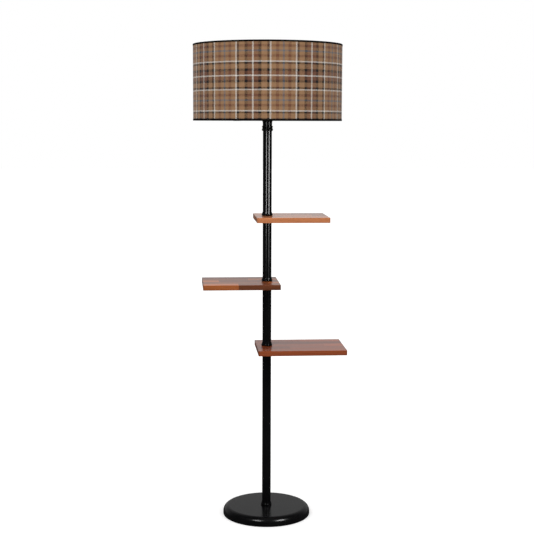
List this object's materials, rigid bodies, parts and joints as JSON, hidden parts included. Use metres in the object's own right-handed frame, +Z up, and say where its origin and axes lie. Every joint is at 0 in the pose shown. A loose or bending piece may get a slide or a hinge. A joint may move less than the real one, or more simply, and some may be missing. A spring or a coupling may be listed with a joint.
{
  "type": "floor lamp",
  "caption": "Floor lamp with a round weighted base, a slim black pole carrying swivelling wooden shelves, and a wide checked drum shade.",
  "frame": {"origin": "on the floor, at the centre of the felt's underside, under the pole's axis", "axes": "+Z up the pole; +X to the right along the shelves, towards the lower shelf's long end; +Y to the back, towards the mains lead's inlet"},
  "size_m": [0.5095, 0.495, 1.6],
  "materials": {
    "black_enamel": "gloss black stove enamel",
    "zinc_steel": "zinc plated",
    "grey_iron": "as cast",
    "black_felt": "felt",
    "black_rubber": "matte",
    "lead_sheath": "satin",
    "black_plastic": "moulded satin",
    "white_ceramic": "glazed",
    "brass": "bright",
    "nickel_brass": "nickel plated",
    "black_glass": "gloss",
    "white_plastic": "satin",
    "board_aluminium": "satin",
    "opal_globe": "opal satin",
    "checked_cloth": "woven check, laminated",
    "shade_liner": "translucent satin",
    "black_tape": "woven tape",
    "white_wire": "white coated wire",
    "lower_wood": "clear varnish",
    "middle_wood": "clear varnish",
    "upper_wood": "clear varnish"
  },
  "bodies": {
    "lamp_frame": {"felt_pad": "black_felt", "base_plate": "zinc_steel", "base_weight": "grey_iron", "base_cover": "black_enamel", "cable_grommet": "black_rubber", "base_washer": "zinc_steel", "base_nut": "zinc_steel", "foot_tube": "black_enamel", "lower_tube": "black_enamel", "middle_tube": "black_enamel", "upper_tube": "black_enamel", "foot_tube_foot_insert": "zinc_steel", "foot_tube_head_insert": "zinc_steel", "lower_tube_foot_insert": "zinc_steel", "lower_tube_head_insert": "zinc_steel", "middle_tube_foot_insert": "zinc_steel", "middle_tube_head_insert": "zinc_steel", "upper_tube_foot_insert": "zinc_steel", "upper_tube_head_insert": "zinc_steel", "base_stud": "zinc_steel", "lower_stud": "zinc_steel", "middle_stud": "zinc_steel", "upper_stud": "zinc_steel", "neck_stud": "zinc_steel", "base_collar": "black_enamel", "lower_collar": "black_enamel", "middle_collar": "black_enamel", "upper_collar": "black_enamel", "neck_ring": "black_enamel", "neck_nut": "zinc_steel", "holder_cap": "black_plastic", "contact_block": "white_ceramic", "terminal_screws": "zinc_steel", "centre_contact": "brass", "screw_shell": "brass", "holder_sleeve": "black_plastic", "shade_nut": "black_plastic", "inner_lead": "lead_sheath"},
    "lower_shelf": {"lower_shelf": "lower_wood"},
    "middle_shelf": {"middle_shelf": "middle_wood"},
    "upper_shelf": {"upper_shelf": "upper_wood"},
    "shade": {"shade_fabric": "checked_cloth", "shade_liner": "shade_liner", "top_ring": "white_wire", "bottom_ring": "white_wire", "top_trim": "black_tape", "bottom_trim": "black_tape", "spider_hub": "white_wire", "spider_arm_1": "white_wire", "spider_arm_2": "white_wire", "spider_arm_3": "white_wire"},
    "bulb_base": {"bulb_tip": "brass", "bulb_insulator": "black_glass", "bulb_cap": "nickel_brass"},
    "bulb_head": {"bulb_housing": "white_plastic", "light_board": "board_aluminium", "bulb_globe": "opal_globe"}
  },
  "joints": [
    {"name": "lower_shelf_swivel", "type": "hinge", "parent": "lamp_frame", "child": "lower_shelf", "pos_m": [0, 0, 0], "axis": [0, 0, 1], "continuous": true},
    {"name": "middle_shelf_swivel", "type": "hinge", "parent": "lamp_frame", "child": "middle_shelf", "pos_m": [0, 0, 0], "axis": [0, 0, 1], "continuous": true},
    {"name": "upper_shelf_swivel", "type": "hinge", "parent": "lamp_frame", "child": "upper_shelf", "pos_m": [0, 0, 0], "axis": [0, 0, 1], "continuous": true},
    {"name": "shade_turn", "type": "hinge", "parent": "lamp_frame", "child": "shade", "pos_m": [0, 0, 0], "axis": [0, 0, 1], "continuous": true},
    {"name": "bulb_rise", "type": "slide", "parent": "lamp_frame", "child": "bulb_base", "axis": [0, 0, 1], "range_m": [0, 0.0183]},
    {"name": "bulb_turn", "type": "hinge", "parent": "bulb_base", "child": "bulb_head", "pos_m": [0, 0, 0], "axis": [0, 0, 1], "range_deg": [0, 1800]}
  ],
  "couplings": [
    {"joint": "bulb_rise", "follows": "bulb_turn", "m_per_rad": 0.00057614}
  ]
}
